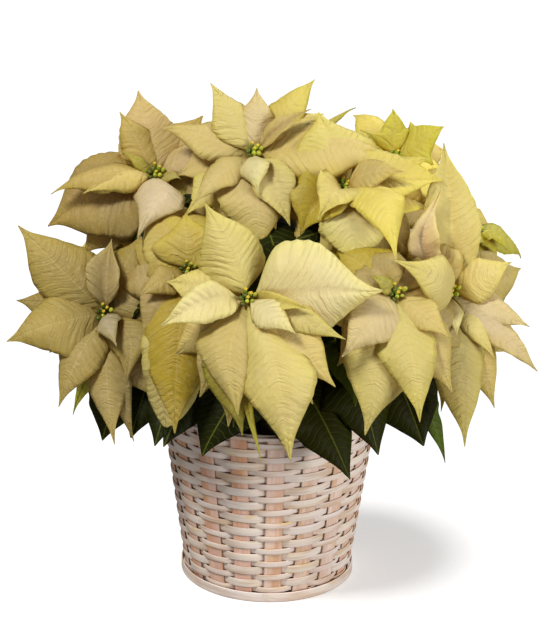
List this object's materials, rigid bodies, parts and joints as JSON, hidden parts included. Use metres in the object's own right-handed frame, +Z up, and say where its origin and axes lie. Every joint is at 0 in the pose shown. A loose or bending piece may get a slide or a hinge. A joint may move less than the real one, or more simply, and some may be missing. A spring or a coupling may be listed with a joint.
{
  "type": "poinsettia in a woven basket",
  "caption": "Flowering house plant with cream bracts and dark green leaves, in a nursery pot inside a whitewashed woven splint basket.",
  "frame": {"origin": "middle of the basket's underside, on the surface that it stands on", "axes": "+Z up, -Y towards the front, the side that the reference view shows, and +X to the right of that view"},
  "size_m": [0.4538, 0.3852, 0.4413],
  "materials": {
    "bare_wood": "pale bare wood",
    "stake_splint": "thin whitewash over pink-brown splint",
    "wide_splint": "worn whitewash over splint",
    "narrow_splint": "thick whitewash over splint",
    "pot_plastic": "thin matt moulded plastic",
    "soil": "crumbly potting mix",
    "green_leaf": "satin dark green with paler veins",
    "cream_bract": "soft matt cream-yellow, ribbed by its veins",
    "lime_bract": "soft matt yellow-green, ribbed by its veins",
    "small_flowers": "waxy green with yellow tips"
  },
  "bodies": {
    "root": {"basket_base": "bare_wood", "bottom_hoop": "bare_wood", "rim_outer": "bare_wood", "rim_inner": "bare_wood", "weaver_wide": "wide_splint", "weaver_narrow": "narrow_splint", "stake_01": "stake_splint", "stake_02": "stake_splint", "stake_03": "stake_splint", "stake_04": "stake_splint", "stake_05": "stake_splint", "stake_06": "stake_splint", "stake_07": "stake_splint", "stake_08": "stake_splint", "stake_09": "stake_splint", "stake_10": "stake_splint", "stake_11": "stake_splint", "stake_12": "stake_splint", "stake_13": "stake_splint", "stake_14": "stake_splint", "stake_15": "stake_splint", "stake_16": "stake_splint", "stake_17": "stake_splint", "stake_18": "stake_splint", "nursery_pot": "pot_plastic", "soil": "soil", "stems_and_leaves": "green_leaf", "head_front": "cream_bract", "head_front_right": "cream_bract", "head_left": "cream_bract", "head_front_left": "cream_bract", "head_right": "cream_bract", "head_top": "cream_bract", "head_top_left": "cream_bract", "head_top_right": "cream_bract", "head_back_right_top": "lime_bract", "head_back_right": "cream_bract", "head_back_left": "cream_bract", "head_back_top": "cream_bract", "head_back": "cream_bract", "eye_front": "small_flowers", "eye_front_right": "small_flowers", "eye_left": "small_flowers", "eye_front_left": "small_flowers", "eye_right": "small_flowers", "eye_top": "small_flowers", "eye_top_left": "small_flowers", "eye_top_right": "small_flowers", "eye_back_right_top": "small_flowers", "eye_back_right": "small_flowers", "eye_back_left": "small_flowers", "eye_back_top": "small_flowers", "eye_back": "small_flowers"}
  },
  "joints": []
}
